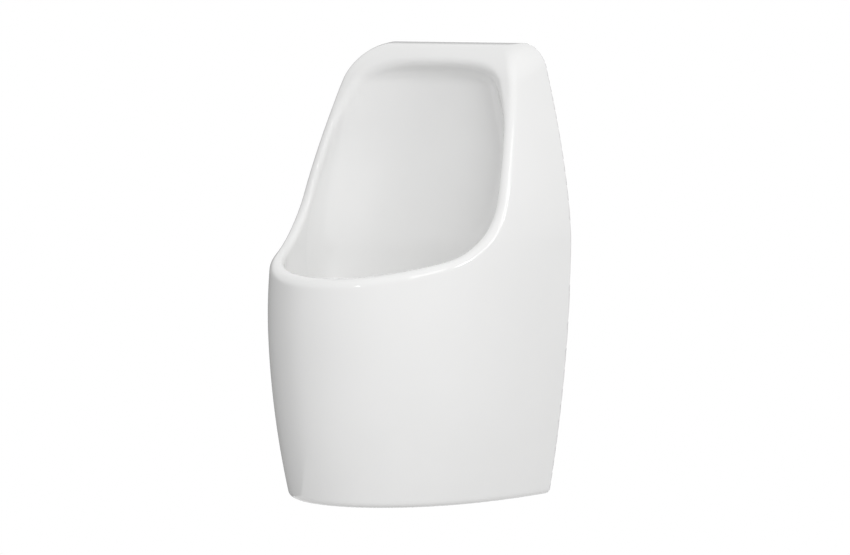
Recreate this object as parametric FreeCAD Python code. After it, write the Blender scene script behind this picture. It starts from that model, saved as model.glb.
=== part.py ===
"""Wall hung waterless urinal, in millimetres.

The wall is the plane Y = 0, the front looks towards -Y, and +Z is up. The origin is the centre
of the waste outlet where it meets the wall. A "height" below is measured up from the foot of the
china and a "depth" is measured forward from the wall. at(x, depth, height) turns them into a point.
"""
import FreeCAD, Part
import math
import os
from FreeCAD import Vector

# ---------------------------------------------------------------- driving dimensions
# outside of the china
BODY_HEIGHT = 620.0
BODY_HALF_WIDTH = 200.0
WIDEST_HEIGHT = 356.0
FOOT_HALF_WIDTH = 163.0
TOP_HALF_WIDTH = 144.5
BODY_DEPTH = 320.0
DEEPEST_HEIGHT = 220.0
FOOT_SETBACK = 25.0             # how far the front skin draws back at the foot
SHOULDER_SETBACK = 156.0        # how far it would draw back at the very top
PLAN_FULLNESS = 2.6             # 2 is an ellipse in plan, more is squarer at the wall
LOWER_SWELL = 1.92              # how late the flanks draw in towards the foot
UPPER_SWELL = 1.52              # how late they draw in towards the top
SHOULDER_RADIUS = 44.0
FOOT_RADIUS = 7.0
WALL_GAP = 3.0                  # pads between the china and the wall
OUTLET_HEIGHT = 74.0

# rim, seen from the side: a low lip, a crook and a steep brow that rolls into the top
LIP_HEIGHT = 303.0
LIP_ANGLE = math.radians(14.8)
BROW_DROP = 46.0                # a point on the brow, below the top of the china
BROW_DEPTH = 77.0
BROW_ANGLE = math.radians(73.6)
CROOK_RADIUS = 120.0
TOP_ROLL_RADIUS = 75.0
TOP_ROLL_END = math.radians(15.0)
RIM_WIDTH = 18.0
RIM_RADIUS = 8.0

# bowl and walls of the china
BACK_WALL_DEPTH = 42.0
ROOF_DROP = 32.0                # ceiling of the alcove below the top of the china
CEILING_RADIUS = 24.0
ALCOVE_DEPTH = 95.0             # where the alcove is widest
ALCOVE_FULLNESS = 2.4
BOWL_TOP_HEIGHT = 330.0         # below this the bowl draws in towards the drain
BOWL_FLOOR_HEIGHT = 186.0
BOWL_FLOOR_RADIUS = 78.0
DRAIN_DEPTH = 155.0
SKIN_WALL = 10.0
BOWL_WALL = 14.0
ROOF_WALL = 14.0
BACK_PLATE = 10.0

# windows in the back plate
SERVICE_WINDOW = (280.0, 178.0)
SERVICE_WINDOW_FOOT = 22.0
MIDDLE_WINDOW = (250.0, 200.0)
WINDOW_RIB = 36.0
WINDOW_RADIUS = 20.0
HANGER_WINDOW = (56.0, 60.0)
HANGER_WINDOW_RADIUS = 4.0
HANGER_SPACING = 160.0
HANGER_DROP = 80.0              # edge of china that bears on the hangers, below the top

# drain fitting
SEAT_GAP = 0.3
EDGE_BREAK = 1.0                # bevel on the edges of turned pieces
HOUSING_RADIUS = 58.0
HOUSING_WALL = 3.0
HOUSING_SUMP = 32.0             # floor of the fitting below the outlet's centre
LEDGE = 8.0                     # shelf under the cartridge
LEDGE_THICKNESS = 4.0
FLANGE_RADIUS = 70.0
FLANGE_THICKNESS = 3.0
GASKET_THICKNESS = 2.0
SEAT_THICKNESS = 10.0
HOUSING_HOLE_CLEARANCE = 2.0    # radial, round the fitting in the china's hole
SLIP_RING_THICKNESS = 2.0
LOCKNUT_HEIGHT = 14.0
LOCKNUT_RADIUS = 76.0
LOCKNUT_LUGS = 12
NUT_LUG_RADIUS = 4.0

# outlet
PIPE_RADIUS = 25.0
PIPE_WALL = 2.5
PIPE_BEAD_RADIUS = 28.0
PIPE_BEYOND_WALL = 60.0
SOCKET_CLEARANCE = 0.4
SOCKET_WALL = 5.6
SOCKET_MOUTH_DEPTH = 70.0
PIPE_INSERTION = 25.0
SOCKET_STEP = 10.0              # how far the socket's bore runs on past the pot's wall
CONE_LENGTH = 7.0
CONE_BACK = 2.0
RUBBER_GAP = 0.1
CONE_FLARE = 3.6
SLIP_NUT_WALL = 6.0
SLIP_NUT_LIP = 4.0
SLIP_NUT_GRIP = 14.0
SLIP_NUT_LUGS = 8

# trap cartridge
CUP_RADIUS = 52.0
CUP_WALL = 2.0
CUP_HEIGHT = 76.0
CUP_FLOOR = 2.5
BAND_RADIUS = 54.0
BAND_HEIGHT = 10.0
BAND_WALL = 5.5
LOWER_BAND_RISE = 8.0
O_RING_SECTION = 1.8
STANDPIPE_RADIUS = 14.0
STANDPIPE_WALL = 2.0
STANDPIPE_LENGTH = 46.0
STANDPIPE_SEAL = 3.0
BELL_RADIUS = 24.0
BELL_WALL = 1.6
BELL_TOP = 2.0
BELL_SKIRT = 40.0
FLOAT_RADIUS = 36.0
FLOAT_FOOT = 8.0
FLOAT_HEIGHT = 20.0
STEM_RADIUS = 4.0
STEM_LENGTH = 15.0
STEM_CLEARANCE = 0.06
STEM_TOP_CLEARANCE = 0.7        # between the guide and the bell's top when the float is up
FLOAT_BEVEL = 3.0
FLOAT_TRAVEL = 9.0
GUIDE_WALL = 4.0
LID_RADIUS = 52.6
LID_THICKNESS = 4.0
LID_PROUD = 2.0                 # top of the lid above the floor of the bowl
LID_SKIRT = 8.0
LID_HOLES = 18
LID_HOLE_CIRCLES = (22.0, 37.5)
LID_HOLE_RADIUS = 3.2
COVER_RADIUS = 62.0
COVER_THICKNESS = 2.5
COVER_CROWN = 8.0
COVER_STAND = 5.0
COVER_FEET = 3
COVER_FOOT_RADIUS = 4.0
COVER_FOOT_CIRCLE = 37.0
COVER_SLOTS = 12
COVER_SLOT = (10.0, 3.0)
COVER_SLOT_START = 44.5

# wall hangers
HANGER_WIDTH = 44.0
HANGER_PLATE = 4.0
HANGER_TALL = 56.0
HANGER_ARM = 6.0
HANGER_LIP = 4.5
HANGER_LIP_RISE = 14.0
HANGER_LIP_GAP = 3.0            # from the back plate's inner face to the hanger's lip
HANGER_CORNER = 2.0
GUSSET = 5.0
GUSSET_REACH = 9.0
HANGER_SCREW_DROPS = (44.0, 22.0)

# screws into the wall, and their plugs
WALL_SCREW_RADIUS = 3.0
WALL_SCREW_LENGTH = 46.0
WALL_SCREW_HEAD_RADIUS = 6.2
WALL_SCREW_HEAD = 4.6
WALL_SCREW_HEAD_ROUND = 1.8
WALL_SCREW_POINT = 4.5
WALL_SCREW_TIP_RADIUS = 0.5
WALL_WASHER_RADIUS = 8.0
WALL_WASHER = 1.5
PLUG_RADIUS = 5.0
PLUG_LENGTH = 52.0
PLUG_BORE_CLEARANCE = 0.1
PLUG_SLIT = 1.0
PLUG_SLIT_LENGTH = 18.0
SCREW_CLEARANCE = 0.3

# lower fixings
LOWER_SPACING = 200.0
LOWER_FIXING_DEPTH = 34.0
LOWER_BRACKET_WIDTH = 38.0
LOWER_BRACKET_PLATE = 3.0
LOWER_BRACKET_TALL = 46.0
LOWER_BRACKET_REACH = 50.0
LOWER_SCREW_RISE = 30.0         # wall screw above the bracket's foot
FOOT_BOSS_RADIUS = 20.0
COUNTERBORE_RADIUS = 12.5
COUNTERBORE = 10.0
FIXING_RADIUS = 4.0
FIXING_HEAD_RADIUS = 6.5
FIXING_HEAD = 5.0
FIXING_LENGTH = 28.0
SLEEVE_RADIUS = 6.8
SLEEVE_FLANGE_RADIUS = 11.0
SLEEVE_FLANGE = 1.5
WELD_NUT_RADIUS = 8.0
WELD_NUT_HEIGHT = 6.5
CAP_RADIUS = 12.0
CAP_THICKNESS = 2.0
CAP_SKIRT_WALL = 1.5
CAP_SKIRT = 3.0

# pads
PAD_WIDTH = 24.0
PAD_TALL = 60.0
PAD_CENTRES = ((161.0, 130.0), (168.0, 430.0))

# how finely the curved outlines are drawn
OUTLINE_STEPS = 400
SKIN_SPANS = 24
SKIN_LEVELS = 9
ROUNDING_LEVELS = 4
BOWL_SPANS = 16
BOWL_LEVELS = 6
ALCOVE_LEVELS = 5

# ---------------------------------------------------------------- places worked out from them
BROW_HEIGHT = BODY_HEIGHT - BROW_DROP
CEILING_HEIGHT = BODY_HEIGHT - ROOF_DROP
HANGER_HEIGHT = BODY_HEIGHT - HANGER_DROP
HANGER_SCREW_HEIGHTS = [HANGER_HEIGHT - drop for drop in HANGER_SCREW_DROPS]
RECESS_HEIGHT = BOWL_FLOOR_HEIGHT - FLANGE_THICKNESS - GASKET_THICKNESS
SEAT_UNDERSIDE = RECESS_HEIGHT - SEAT_THICKNESS
HOUSING_BORE = HOUSING_RADIUS - HOUSING_WALL
SOCKET_BORE = PIPE_RADIUS + SOCKET_CLEARANCE
SOCKET_RADIUS = SOCKET_BORE + SOCKET_WALL
HOUSING_FLOOR_HEIGHT = OUTLET_HEIGHT - HOUSING_SUMP
LID_TOP = BOWL_FLOOR_HEIGHT + LID_PROUD
CUP_TOP_HEIGHT = LID_TOP - LID_THICKNESS
CUP_FOOT_HEIGHT = CUP_TOP_HEIGHT - CUP_HEIGHT
STANDPIPE_HEIGHT = CUP_FOOT_HEIGHT + STANDPIPE_LENGTH
PLATE_INNER_DEPTH = WALL_GAP + BACK_PLATE
UP = Vector(0, 0, 1)
FORWARD = Vector(0, -1, 0)
INTO_WALL = Vector(0, 1, 0)


def at(x, depth, height):
    """Point from a place across, a depth forward from the wall and a height above the foot."""
    return Vector(x, -depth, height - OUTLET_HEIGHT)


def rod(radius, length, start, axis=UP):
    return Part.makeCylinder(radius, length, start, axis)


def tube(outer, inner, length, start, axis=UP):
    return rod(outer, length, start, axis).cut(rod(inner, length, start, axis))


def block(x, depths, heights):
    """Box between two places across, two depths and two heights."""
    corner = at(x[0], depths[1], heights[0])
    return Part.makeBox(x[1] - x[0], depths[1] - depths[0], heights[1] - heights[0], corner)


def turned(profile, centre_depth):
    """Solid of revolution about the vertical drain axis, from (radius, height) corners."""
    corners = [at(radius, centre_depth, height) for radius, height in profile]
    face = Part.Face(Part.makePolygon(corners + corners[:1]))
    return face.revolve(at(0, centre_depth, 0), UP, 360)


def ring_of(count, first=0.0):
    """Angles of evenly spaced copies round an axis."""
    return [first + 2 * math.pi * i / count for i in range(count)]


def edges_where(shape, test):
    return [edge for edge in shape.Edges if test(edge.BoundBox)]


# ---------------------------------------------------------------- outlines of the china in plan
def half_width(height):
    if height < WIDEST_HEIGHT:
        fall = (WIDEST_HEIGHT - height) / WIDEST_HEIGHT
        return BODY_HALF_WIDTH - (BODY_HALF_WIDTH - FOOT_HALF_WIDTH) * fall ** LOWER_SWELL
    rise = (height - WIDEST_HEIGHT) / (BODY_HEIGHT - WIDEST_HEIGHT)
    return BODY_HALF_WIDTH - (BODY_HALF_WIDTH - TOP_HALF_WIDTH) * rise ** UPPER_SWELL


def skin_depth(height):
    if height < DEEPEST_HEIGHT:
        fall = (DEEPEST_HEIGHT - height) / DEEPEST_HEIGHT
        return BODY_DEPTH - FOOT_SETBACK * fall ** 2
    rise = (height - DEEPEST_HEIGHT) / (BODY_HEIGHT - DEEPEST_HEIGHT)
    return BODY_DEPTH - SHOULDER_SETBACK * rise ** 2


def skin_outline(height):
    """Fine outline of the skin at a height, from the right back corner round to the left one."""
    width, reach = half_width(height), skin_depth(height) - WALL_GAP
    outline = []
    for i in range(OUTLINE_STEPS + 1):
        angle = math.pi * i / OUTLINE_STEPS
        bulge = max(math.sin(angle), 0.0) ** (2 / PLAN_FULLNESS)
        outline.append((width * math.cos(angle), WALL_GAP + reach * bulge))
    return outline


def offset(outline, distance, start, end):
    """Outline moved to its left by a distance; start and end are its end directions."""
    moved = []
    last = len(outline) - 1
    for i, (x, depth) in enumerate(outline):
        before, after = outline[max(i - 1, 0)], outline[min(i + 1, last)]
        run = (after[0] - before[0], after[1] - before[1])
        if i == 0:
            run = start
        if i == last:
            run = end
        length = math.hypot(*run)
        moved.append((x - distance * run[1] / length, depth + distance * run[0] / length))
    return moved


def evenly(outline, spans):
    """Points at equal steps along a fine outline."""
    travelled = [0.0]
    for here, there in zip(outline, outline[1:]):
        travelled.append(travelled[-1] + math.hypot(there[0] - here[0], there[1] - here[1]))
    points, k = [], 0
    for i in range(spans + 1):
        goal = travelled[-1] * i / spans
        while k < len(travelled) - 2 and travelled[k + 1] < goal:
            k += 1
        share = (goal - travelled[k]) / (travelled[k + 1] - travelled[k])
        here, there = outline[k], outline[k + 1]
        points.append((here[0] + share * (there[0] - here[0]), here[1] + share * (there[1] - here[1])))
    return points


def spline(points, start, end):
    curve = Part.BSplineCurve()
    steps = [i / (len(points) - 1) for i in range(len(points))]
    curve.interpolate(Points=points, Parameters=steps, InitialTangent=start, FinalTangent=end)
    return curve.toShape()


def skin_section(height, inset=0.0):
    outline = skin_outline(height)
    if inset:
        outline = offset(outline, inset, (0, 1), (0, -1))
    points = [at(x, depth, height) for x, depth in evenly(outline, SKIN_SPANS)]
    return Part.Wire([spline(points, FORWARD, INTO_WALL), Part.makeLine(points[-1], points[0])])


def alcove_outline(height):
    """Right half of the hollow at a height where it is full size, from the back to the front."""
    inside = offset(skin_outline(height), RIM_WIDTH, (0, 1), (0, -1))
    inside = inside[:OUTLINE_STEPS // 2 + 1]
    front = [point for point in inside if point[1] > ALCOVE_DEPTH]
    widest, set_back = front[0][0], ALCOVE_DEPTH - BACK_WALL_DEPTH
    back = []
    for i in range(OUTLINE_STEPS // 4):
        angle = math.pi / 2 * i / (OUTLINE_STEPS // 4)
        across = math.sin(angle) ** (2 / ALCOVE_FULLNESS)
        inward = math.cos(angle) ** (2 / ALCOVE_FULLNESS)
        back.append((widest * across, ALCOVE_DEPTH - set_back * inward))
    return back + front


def bowl_outline(height):
    """Right half of the hollow at any height: the alcove above, the bowl's draw to the drain below."""
    outline = alcove_outline(max(height, BOWL_TOP_HEIGHT))
    if height >= BOWL_TOP_HEIGHT:
        return outline
    rise = (height - BOWL_FLOOR_HEIGHT) / (BOWL_TOP_HEIGHT - BOWL_FLOOR_HEIGHT)
    share = math.sqrt(max(1 - (1 - rise) ** 2, 0.0))
    drawn = []
    for x, depth in outline:
        angle = math.atan2(x, depth - DRAIN_DEPTH)
        floor_x = BOWL_FLOOR_RADIUS * math.sin(angle)
        floor_depth = DRAIN_DEPTH + BOWL_FLOOR_RADIUS * math.cos(angle)
        drawn.append((floor_x + (x - floor_x) * share, floor_depth + (depth - floor_depth) * share))
    return drawn


def bowl_section(height, outset=0.0, drop=0.0):
    """Section of the hollow, drawn outwards by outset (inwards where it is negative)."""
    outline = bowl_outline(height)
    if outset:
        outline = offset(outline, -outset, (1, 0), (-1, 0))
    points = [at(x, depth, height - drop) for x, depth in evenly(outline, BOWL_SPANS)]
    other = [Vector(-point.x, point.y, point.z) for point in reversed(points)]
    right, left = Vector(1, 0, 0), Vector(-1, 0, 0)
    return Part.Wire([spline(points, right, left), spline(other, left, right)])


def bowl_heights():
    low = BOWL_TOP_HEIGHT - BOWL_FLOOR_HEIGHT
    heights = [BOWL_FLOOR_HEIGHT + low * (1 - math.cos(math.pi / 2 * i / BOWL_LEVELS))
               for i in range(BOWL_LEVELS + 1)]
    high = CEILING_HEIGHT - CEILING_RADIUS - BOWL_TOP_HEIGHT
    return heights + [BOWL_TOP_HEIGHT + high * (i + 1) / ALCOVE_LEVELS for i in range(ALCOVE_LEVELS)]


# ---------------------------------------------------------------- the china
def rounding(radius):
    """(rise, inset) of levels up a quarter circle, from the upright side to its flat end."""
    turns = [math.pi / 2 * i / ROUNDING_LEVELS for i in range(ROUNDING_LEVELS + 1)]
    return [(radius * math.sin(turn), radius * (1 - math.cos(turn))) for turn in turns]


def skin_solid():
    """Skin with its foot's edge and its shoulder rounded, which the flat back cuts square."""
    foot = [(FOOT_RADIUS - rise, inset) for rise, inset in reversed(rounding(FOOT_RADIUS))]
    upright = (FOOT_RADIUS, BODY_HEIGHT - SHOULDER_RADIUS)
    step = (upright[1] - upright[0]) / (SKIN_LEVELS - 1)
    middle = [(upright[0] + step * i, 0.0) for i in range(1, SKIN_LEVELS - 1)]
    shoulder = [(upright[1] + rise, inset) for rise, inset in rounding(SHOULDER_RADIUS)]
    sections = [skin_section(height, inset) for height, inset in foot + middle + shoulder]
    return Part.makeLoft(sections, True, False)


def rim_cutter():
    """Everything in front of and above the rim, as one wide block with the rim's side profile."""
    lip, brow = LIP_ANGLE, BROW_ANGLE
    lip_depth = skin_depth(LIP_HEIGHT)
    # where the lip's line and the brow's line would meet
    meet_depth = ((LIP_HEIGHT + math.tan(lip) * lip_depth - BROW_HEIGHT - math.tan(brow) * BROW_DEPTH)
                  / (math.tan(lip) - math.tan(brow)))
    meet_height = LIP_HEIGHT + math.tan(lip) * (lip_depth - meet_depth)
    tangent = CROOK_RADIUS * math.tan((brow - lip) / 2)
    crook_start = (meet_depth + tangent * math.cos(lip), meet_height - tangent * math.sin(lip))
    crook_end = (meet_depth - tangent * math.cos(brow), meet_height + tangent * math.sin(brow))
    centre = (crook_start[0] + CROOK_RADIUS * math.sin(lip), crook_start[1] + CROOK_RADIUS * math.cos(lip))
    middle = (lip + brow) / 2
    crook_middle = (centre[0] - CROOK_RADIUS * math.sin(middle),
                    centre[1] - CROOK_RADIUS * math.cos(middle))
    # the roll that carries the brow over into the top
    roll_rise = TOP_ROLL_RADIUS * (math.cos(TOP_ROLL_END) - math.cos(brow))
    roll_height = BODY_HEIGHT - roll_rise
    roll_depth = BROW_DEPTH - (roll_height - BROW_HEIGHT) / math.tan(brow)
    hub = (roll_depth - TOP_ROLL_RADIUS * math.sin(brow), roll_height - TOP_ROLL_RADIUS * math.cos(brow))
    halfway = (brow + TOP_ROLL_END) / 2
    roll_middle = (hub[0] + TOP_ROLL_RADIUS * math.sin(halfway),
                   hub[1] + TOP_ROLL_RADIUS * math.cos(halfway))
    roll_end = (hub[0] + TOP_ROLL_RADIUS * math.sin(TOP_ROLL_END), BODY_HEIGHT)
    beyond = BODY_DEPTH / 4
    front = (BODY_DEPTH + beyond, LIP_HEIGHT - math.tan(lip) * (BODY_DEPTH + beyond - lip_depth))
    back = (roll_end[0] - beyond * math.cos(TOP_ROLL_END), BODY_HEIGHT + beyond * math.sin(TOP_ROLL_END))
    sky = BODY_HEIGHT + 2 * beyond
    p = [at(-BODY_HALF_WIDTH - beyond, *point) for point in (
        front, crook_start, crook_middle, crook_end, (roll_depth, roll_height), roll_middle, roll_end,
        back, (back[0], sky), (front[0], sky))]
    outline = Part.Wire([
        Part.makeLine(p[0], p[1]), Part.Arc(p[1], p[2], p[3]).toShape(), Part.makeLine(p[3], p[4]),
        Part.Arc(p[4], p[5], p[6]).toShape(), Part.makeLine(p[6], p[7]), Part.makeLine(p[7], p[8]),
        Part.makeLine(p[8], p[9]), Part.makeLine(p[9], p[0])])
    return Part.Face(outline).extrude(Vector(2 * (BODY_HALF_WIDTH + beyond), 0, 0))


def bowl_solid():
    sections = [bowl_section(height) for height in bowl_heights()]
    upright = CEILING_HEIGHT - CEILING_RADIUS
    sections += [bowl_section(upright + rise, -inset) for rise, inset in rounding(CEILING_RADIUS)[1:]]
    return Part.makeLoft(sections, True, False)


def rim_edges(body):
    """Both edges of the rim band: where the skin and where the bowl meet the side profile."""
    lowest = at(0, 0, LIP_HEIGHT - RIM_WIDTH).z
    inner_back = -(BROW_DEPTH - TOP_ROLL_RADIUS)

    def on_rim(box):
        across = box.YLength < 0.1 and box.ZLength < 0.1
        runs_long = box.XLength > BODY_HALF_WIDTH / 2 or not across
        return box.ZMin > lowest and box.YMax < inner_back and runs_long
    profile = [face for face in body.Faces if is_profile_face(face)]
    outer = []
    for face in profile:
        for edge in face.Edges:
            shared = [other for other in profile if not other.isSame(face)
                      and any(edge.isSame(candidate) for candidate in other.Edges)]
            if not shared and on_rim(edge.BoundBox):
                outer.append(edge)
    return outer


def is_profile_face(face):
    """The rim band's own faces: planes and cylinders that run straight across the body."""
    surface = face.Surface
    if isinstance(surface, Part.Plane):
        normal = surface.Axis
        return abs(normal.x) < 1e-6 and abs(normal.y) > 0.1 and abs(normal.z) > 0.1
    if isinstance(surface, Part.Cylinder):
        return abs(surface.Axis.x) > 0.999
    return False


def hollow_solid(cutter):
    """Space inside the double wall: within the skin, clear of the bowl, the rim and the roof."""
    roof = BODY_HEIGHT - ROOF_WALL
    levels = [SKIN_WALL + (roof - SKIN_WALL) * i / (SKIN_LEVELS - 1) for i in range(SKIN_LEVELS)]
    inside = Part.makeLoft([skin_section(height, SKIN_WALL) for height in levels], True, False)
    heights = bowl_heights()
    sections = [bowl_section(height, BOWL_WALL, BOWL_WALL) for height in heights]
    sections.append(bowl_section(CEILING_HEIGHT, BOWL_WALL, -SKIN_WALL))
    around_bowl = Part.makeLoft(sections, True, False)
    rim = cutter.translated(Vector(0, ROOF_WALL, -ROOF_WALL))
    plate = block((-BODY_HALF_WIDTH, BODY_HALF_WIDTH), (0, PLATE_INNER_DEPTH), (0, BODY_HEIGHT))
    return inside.cut([around_bowl, rim, plate])


def window(centre_x, width, height, foot, radius):
    across = (centre_x - width / 2, centre_x + width / 2)
    opening = block(across, (0, PLATE_INNER_DEPTH), (foot, foot + height))
    return opening.makeFillet(radius, edges_where(opening, lambda box: box.YLength > BACK_PLATE))


def windows():
    middle_foot = SERVICE_WINDOW_FOOT + SERVICE_WINDOW[1] + WINDOW_RIB
    yield window(0, SERVICE_WINDOW[0], SERVICE_WINDOW[1], SERVICE_WINDOW_FOOT, WINDOW_RADIUS)
    yield window(0, MIDDLE_WINDOW[0], MIDDLE_WINDOW[1], middle_foot, WINDOW_RADIUS)
    for side in (-1, 1):
        yield window(side * HANGER_SPACING / 2, HANGER_WINDOW[0], HANGER_WINDOW[1],
                     HANGER_HEIGHT - HANGER_WINDOW[1], HANGER_WINDOW_RADIUS)


def ceramic_body():
    cutter = rim_cutter()
    body = skin_solid().cut(cutter).cut(bowl_solid())
    body = body.makeFillet(RIM_RADIUS, rim_edges(body))
    body = body.cut(hollow_solid(cutter)).cut(list(windows()))
    # seat of the drain fitting
    seat_radius = FLANGE_RADIUS + BOWL_WALL
    seat = rod(seat_radius, BOWL_FLOOR_HEIGHT - SEAT_UNDERSIDE, at(0, DRAIN_DEPTH, SEAT_UNDERSIDE))
    body = body.fuse(seat)
    body = body.cut([
        rod(FLANGE_RADIUS + EDGE_BREAK, FLANGE_RADIUS, at(0, DRAIN_DEPTH, RECESS_HEIGHT)),
        rod(HOUSING_RADIUS + HOUSING_HOLE_CLEARANCE, 2 * SEAT_THICKNESS,
            at(0, DRAIN_DEPTH, SEAT_UNDERSIDE - SEAT_THICKNESS / 2))])
    # bosses and counterbored holes for the lower fixings
    for side in (-1, 1):
        x = side * LOWER_SPACING / 2
        body = body.fuse(rod(FOOT_BOSS_RADIUS, SERVICE_WINDOW_FOOT, at(x, LOWER_FIXING_DEPTH, 0)))
        body = body.cut([
            rod(COUNTERBORE_RADIUS, COUNTERBORE, at(x, LOWER_FIXING_DEPTH, 0)),
            rod(SLEEVE_RADIUS + SEAT_GAP, SERVICE_WINDOW_FOOT, at(x, LOWER_FIXING_DEPTH, 0))])
    return body.removeSplitter()


# ---------------------------------------------------------------- the drain fitting
def lugged(barrel, radius, start, length, axis, count):
    """Barrel with evenly spaced grip lugs along its outside."""
    lugs = []
    for angle in ring_of(count):
        across = Vector(math.cos(angle), math.sin(angle), 0)
        if axis is not UP:
            across = Vector(math.cos(angle), 0, math.sin(angle))
        lugs.append(rod(NUT_LUG_RADIUS, length, start + across * (radius - NUT_LUG_RADIUS / 2), axis))
    return barrel.fuse(lugs)


def drain_housing():
    """Pot with a flange on the china, a ledge under the cartridge and a side socket to the wall."""
    flange_foot = BOWL_FLOOR_HEIGHT - FLANGE_THICKNESS
    ledge = HOUSING_BORE - LEDGE
    ledge_top = CUP_FOOT_HEIGHT - SEAT_GAP
    ledge_foot = ledge_top - LEDGE_THICKNESS
    pot = turned([
        (0, HOUSING_FLOOR_HEIGHT), (HOUSING_RADIUS, HOUSING_FLOOR_HEIGHT), (HOUSING_RADIUS, flange_foot),
        (FLANGE_RADIUS, flange_foot), (FLANGE_RADIUS, BOWL_FLOOR_HEIGHT - EDGE_BREAK),
        (FLANGE_RADIUS - EDGE_BREAK, BOWL_FLOOR_HEIGHT), (HOUSING_BORE + EDGE_BREAK, BOWL_FLOOR_HEIGHT),
        (HOUSING_BORE, BOWL_FLOOR_HEIGHT - EDGE_BREAK), (HOUSING_BORE, ledge_top), (ledge, ledge_top),
        (ledge, ledge_foot), (HOUSING_BORE, ledge_foot - LEDGE),
        (HOUSING_BORE, HOUSING_FLOOR_HEIGHT + HOUSING_WALL), (0, HOUSING_FLOOR_HEIGHT + HOUSING_WALL)],
        DRAIN_DEPTH)
    socket_length = DRAIN_DEPTH - HOUSING_BORE + SOCKET_STEP - SOCKET_MOUTH_DEPTH
    socket = rod(SOCKET_RADIUS, socket_length, at(0, SOCKET_MOUTH_DEPTH, OUTLET_HEIGHT), FORWARD)
    inside_pot = rod(HOUSING_BORE, CUP_FOOT_HEIGHT, at(0, DRAIN_DEPTH, HOUSING_FLOOR_HEIGHT + HOUSING_WALL))
    pot = pot.fuse(socket.cut(inside_pot))
    bore = rod(SOCKET_BORE, socket_length, at(0, SOCKET_MOUTH_DEPTH, OUTLET_HEIGHT), FORWARD)
    mouth = Part.makeCone(SOCKET_BORE + CONE_FLARE, SOCKET_BORE, CONE_LENGTH,
                          at(0, SOCKET_MOUTH_DEPTH, OUTLET_HEIGHT), FORWARD)
    return pot.cut([bore, mouth])


def housing_gasket():
    foot = at(0, DRAIN_DEPTH, RECESS_HEIGHT)
    return tube(FLANGE_RADIUS, HOUSING_RADIUS + SEAT_GAP, GASKET_THICKNESS, foot)


def housing_slip_ring():
    foot = SEAT_UNDERSIDE - SLIP_RING_THICKNESS
    return tube(LOCKNUT_RADIUS, HOUSING_RADIUS + SEAT_GAP, SLIP_RING_THICKNESS, at(0, DRAIN_DEPTH, foot))


def housing_locknut():
    start = at(0, DRAIN_DEPTH, SEAT_UNDERSIDE - SLIP_RING_THICKNESS - LOCKNUT_HEIGHT)
    flange = rod(LOCKNUT_RADIUS, LOCKNUT_HEIGHT / 4, start + UP * (LOCKNUT_HEIGHT * 3 / 4))
    barrel = rod(LOCKNUT_RADIUS - NUT_LUG_RADIUS, LOCKNUT_HEIGHT, start)
    lug_circle = LOCKNUT_RADIUS - NUT_LUG_RADIUS
    nut = lugged(barrel.fuse(flange), lug_circle, start, LOCKNUT_HEIGHT, UP, LOCKNUT_LUGS)
    return nut.cut(rod(HOUSING_RADIUS + SEAT_GAP, LOCKNUT_HEIGHT, start))


# ---------------------------------------------------------------- the outlet
def outlet_pipe():
    """Tail pipe from inside the socket into the wall, with a stop bead against the wall."""
    inner_end = SOCKET_MOUTH_DEPTH + PIPE_INSERTION
    pipe = tube(PIPE_RADIUS, PIPE_RADIUS - PIPE_WALL, inner_end + PIPE_BEYOND_WALL,
                at(0, inner_end, OUTLET_HEIGHT), INTO_WALL)
    bead = tube(PIPE_BEAD_RADIUS, PIPE_RADIUS - PIPE_WALL, WALL_GAP, at(0, 0, OUTLET_HEIGHT), FORWARD)
    return pipe.fuse(bead)


def outlet_cone_seal():
    """Rubber ring with a tapered nose in the socket's mouth and a square back against the nut."""
    start = at(0, SOCKET_MOUTH_DEPTH - CONE_BACK, OUTLET_HEIGHT)
    flare = SOCKET_BORE + CONE_FLARE - SEAT_GAP
    nose = Part.makeCone(flare, SOCKET_BORE - RUBBER_GAP, CONE_LENGTH, start + FORWARD * CONE_BACK, FORWARD)
    back = rod(flare, CONE_BACK, start, FORWARD)
    way = rod(PIPE_RADIUS + RUBBER_GAP, CONE_LENGTH + CONE_BACK, start, FORWARD)
    return nose.fuse(back).cut(way).removeSplitter()


def outlet_slip_nut():
    lip_depth = SOCKET_MOUTH_DEPTH - CONE_BACK - SLIP_NUT_LIP - RUBBER_GAP
    length = SLIP_NUT_LIP + CONE_BACK + RUBBER_GAP + SLIP_NUT_GRIP
    start = at(0, lip_depth, OUTLET_HEIGHT)
    radius = SOCKET_RADIUS + SEAT_GAP + SLIP_NUT_WALL
    nut = lugged(rod(radius, length, start, FORWARD), radius, start, length, FORWARD, SLIP_NUT_LUGS)
    thread = rod(SOCKET_RADIUS + SEAT_GAP, length, start + FORWARD * SLIP_NUT_LIP, FORWARD)
    return nut.cut([thread, rod(PIPE_RADIUS + SEAT_GAP, length, start, FORWARD)])


# ---------------------------------------------------------------- the trap cartridge
def band_heights():
    """Lowest height of the cup's two thick bands, each of which holds an O-ring."""
    return CUP_FOOT_HEIGHT + LOWER_BAND_RISE, CUP_TOP_HEIGHT - BAND_HEIGHT


def o_ring_radius():
    return HOUSING_BORE - SEAT_GAP - O_RING_SECTION


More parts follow.
